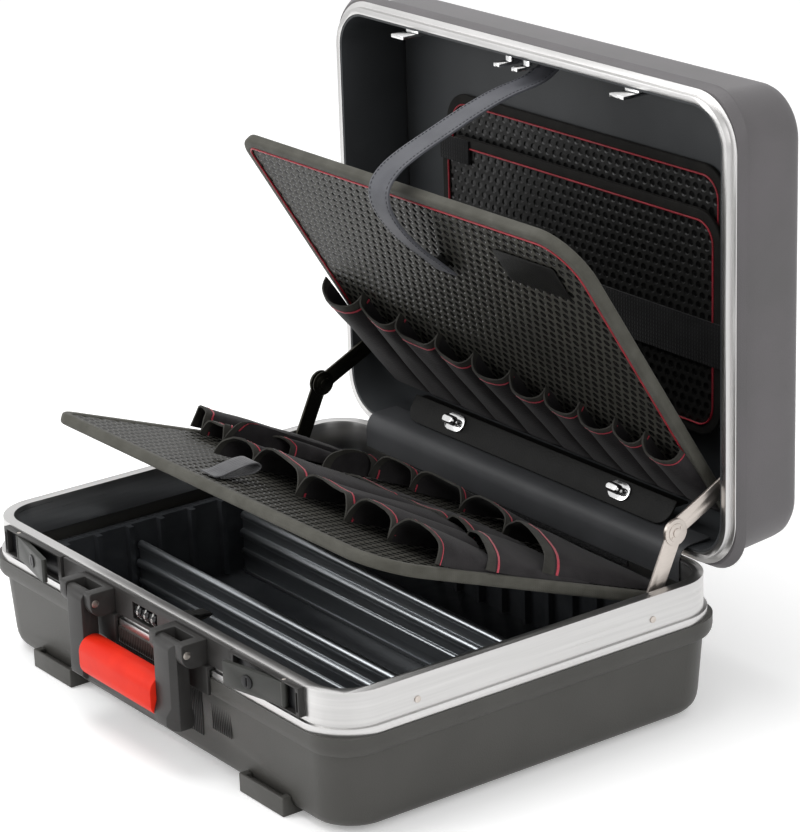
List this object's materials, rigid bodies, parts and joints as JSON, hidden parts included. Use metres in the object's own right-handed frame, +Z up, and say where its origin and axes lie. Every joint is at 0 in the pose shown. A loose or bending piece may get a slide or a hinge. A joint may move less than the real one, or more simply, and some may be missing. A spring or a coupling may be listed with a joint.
{
  "type": "hard tool case",
  "caption": "Hard tool case standing open: moulded base and hinged lid in metal frames, folding stays, two tilting tool boards with pockets, swing handle, latches and dial lock.",
  "frame": {"origin": "on the floor under the middle of the base, on the raised field of the base shell", "axes": "+X to the right, +Y to the hinge side, +Z up; the handle and latches face -Y"},
  "size_m": [0.4968, 0.466, 0.4774],
  "materials": {
    "shell": "fine-grained moulded plastic",
    "frame": "brushed extrusion",
    "hardware": "satin moulded plastic",
    "lever": "satin painted die casting",
    "key": "plated",
    "dial": "plated plastic",
    "grip": "soft-touch orange-red",
    "steel": "satin nickel plate",
    "dark_steel": "blackened",
    "chrome": "polished",
    "tray": "vacuum-formed sheet",
    "divider": "extruded plastic, sheen",
    "board": "embossed sheet",
    "binding": "woven tape",
    "pocket": "ripstop cloth",
    "liner": "black lining",
    "leathercloth": "grained leathercloth",
    "cover": "smooth sheet",
    "strap": "stitched strap",
    "webbing": "elastic webbing",
    "foot": "moulded"
  },
  "bodies": {
    "base": {"base_shell": "shell", "base_frame": "frame", "base_feet": "foot", "base_tray": "tray", "divider_front": "divider", "divider_rear": "divider", "velcro_strip": "webbing", "retaining_loop": "webbing", "lock_plate": "hardware", "lock_case": "hardware", "dial_axle": "steel", "handle_bracket_left": "hardware", "handle_bracket_right": "hardware", "handle_pins": "steel", "latch_housing_left": "hardware", "latch_housing_right": "hardware", "latch_pins": "steel", "hinge_base_leaf": "steel", "hinge_pin": "steel", "hinge_cover": "cover", "stay_base_studs": "steel", "frame_rivets": "steel"},
    "lid": {"lid_shell": "shell", "lid_frame": "frame", "lid_liner": "liner", "lid_back_panel": "board", "document_panel": "board", "upper_wallet": "board", "lid_bands": "webbing", "lid_catches": "steel", "hinge_lid_leaf": "steel", "stay_lid_studs": "steel", "upper_flap": "leathercloth", "stud_plates": "chrome", "lid_strap": "strap"},
    "upper_board": {"upper_board_panel": "board", "upper_board_binding": "binding", "upper_pockets": "pocket", "board_trim": "leathercloth"},
    "lower_board": {"lower_board_panel": "board", "lower_board_binding": "binding", "lower_pockets_front": "pocket", "lower_pockets_right": "pocket", "lower_pockets_left": "pocket", "pull_tab": "strap"},
    "handle": {"handle_frame": "hardware", "handle_grip": "grip"},
    "latch_left": {"latch_lever_left": "lever"},
    "key_left": {"key_cylinder_left": "key"},
    "stay_lower_left": {"stay_lower_left": "dark_steel"},
    "stay_upper_left": {"stay_upper_left": "dark_steel"},
    "turn_stud_left": {"turn_stud_left": "chrome"},
    "latch_right": {"latch_lever_right": "lever"},
    "key_right": {"key_cylinder_right": "key"},
    "stay_lower_right": {"stay_lower_right": "steel"},
    "stay_upper_right": {"stay_upper_right": "steel"},
    "turn_stud_right": {"turn_stud_right": "chrome"},
    "dial_1": {"number_dial_1": "dial"},
    "dial_2": {"number_dial_2": "dial"},
    "dial_3": {"number_dial_3": "dial"}
  },
  "joints": [
    {"name": "lid_hinge", "type": "hinge", "parent": "base", "child": "lid", "pos_m": [0, 0.179, 0.1125], "axis": [1, 0, 0], "range_deg": [0, 90], "deforming": ["hinge_cover"]},
    {"name": "upper_board_hinge", "type": "hinge", "parent": "lid", "child": "upper_board", "pos_m": [0, 0.212, 0.143], "axis": [1, 0, 0], "range_deg": [-32, 0], "deforming": ["lid_strap"]},
    {"name": "lower_board_hinge", "type": "hinge", "parent": "base", "child": "lower_board", "pos_m": [0, 0.165, 0.082], "axis": [1, 0, 0], "range_deg": [0, 20.2]},
    {"name": "stay_lower_left_pivot", "type": "hinge", "parent": "base", "child": "stay_lower_left", "pos_m": [-0.227, 0.1154, 0.0965], "axis": [1, 0, 0], "range_deg": [0, 99.84]},
    {"name": "stay_upper_left_pivot", "type": "hinge", "parent": "lid", "child": "stay_upper_left", "pos_m": [-0.2244, 0.195, 0.1761], "axis": [1, 0, 0], "range_deg": [-99.84, 0]},
    {"name": "stay_lower_right_pivot", "type": "hinge", "parent": "base", "child": "stay_lower_right", "pos_m": [0.227, 0.1154, 0.0965], "axis": [1, 0, 0], "range_deg": [0, 99.84]},
    {"name": "stay_upper_right_pivot", "type": "hinge", "parent": "lid", "child": "stay_upper_right", "pos_m": [0.2244, 0.195, 0.1761], "axis": [1, 0, 0], "range_deg": [-99.84, 0]},
    {"name": "handle_swing", "type": "hinge", "parent": "base", "child": "handle", "pos_m": [0, -0.1985, 0.1005], "axis": [-1, 0, 0], "range_deg": [0, 100]},
    {"name": "latch_left_swing", "type": "hinge", "parent": "base", "child": "latch_left", "pos_m": [-0.183, -0.181, 0.09975], "axis": [0, 0, -1], "range_deg": [-11.5, 60]},
    {"name": "key_left_turn", "type": "hinge", "parent": "latch_left", "child": "key_left", "pos_m": [-0.1487, -0.18798, 0.09975], "axis": [-0.1994, -0.9799, 0], "range_deg": [0, 90]},
    {"name": "latch_right_swing", "type": "hinge", "parent": "base", "child": "latch_right", "pos_m": [0.183, -0.181, 0.09975], "axis": [0, 0, 1], "range_deg": [-11.5, 60]},
    {"name": "key_right_turn", "type": "hinge", "parent": "latch_right", "child": "key_right", "pos_m": [0.1487, -0.18798, 0.09975], "axis": [0.1994, -0.9799, 0], "range_deg": [0, 90]},
    {"name": "dial_1_turn", "type": "hinge", "parent": "base", "child": "dial_1", "pos_m": [-0.01, -0.175, 0.0987], "axis": [1, 0, 0], "continuous": true},
    {"name": "dial_2_turn", "type": "hinge", "parent": "base", "child": "dial_2", "pos_m": [0, -0.175, 0.0987], "axis": [1, 0, 0], "continuous": true},
    {"name": "dial_3_turn", "type": "hinge", "parent": "base", "child": "dial_3", "pos_m": [0.01, -0.175, 0.0987], "axis": [1, 0, 0], "continuous": true},
    {"name": "turn_stud_left_turn", "type": "hinge", "parent": "lid", "child": "turn_stud_left", "pos_m": [-0.105, 0.19266, 0.13414], "axis": [0, -0.8272, 0.5619], "range_deg": [0, 90]},
    {"name": "turn_stud_right_turn", "type": "hinge", "parent": "lid", "child": "turn_stud_right", "pos_m": [0.105, 0.19266, 0.13414], "axis": [0, -0.8272, 0.5619], "range_deg": [0, 90]}
  ],
  "couplings": [
    {"joint": "upper_board_hinge", "follows": "lid_hinge", "ratio": -0.35556},
    {"joint": "lower_board_hinge", "follows": "lid_hinge", "ratio": 0.22444},
    {"joint": "stay_lower_left_pivot", "follows": "lid_hinge", "ratio": 1.1093},
    {"joint": "stay_upper_left_pivot", "follows": "lid_hinge", "ratio": -1.1093},
    {"joint": "stay_lower_right_pivot", "follows": "lid_hinge", "ratio": 1.1093},
    {"joint": "stay_upper_right_pivot", "follows": "lid_hinge", "ratio": -1.1093}
  ]
}
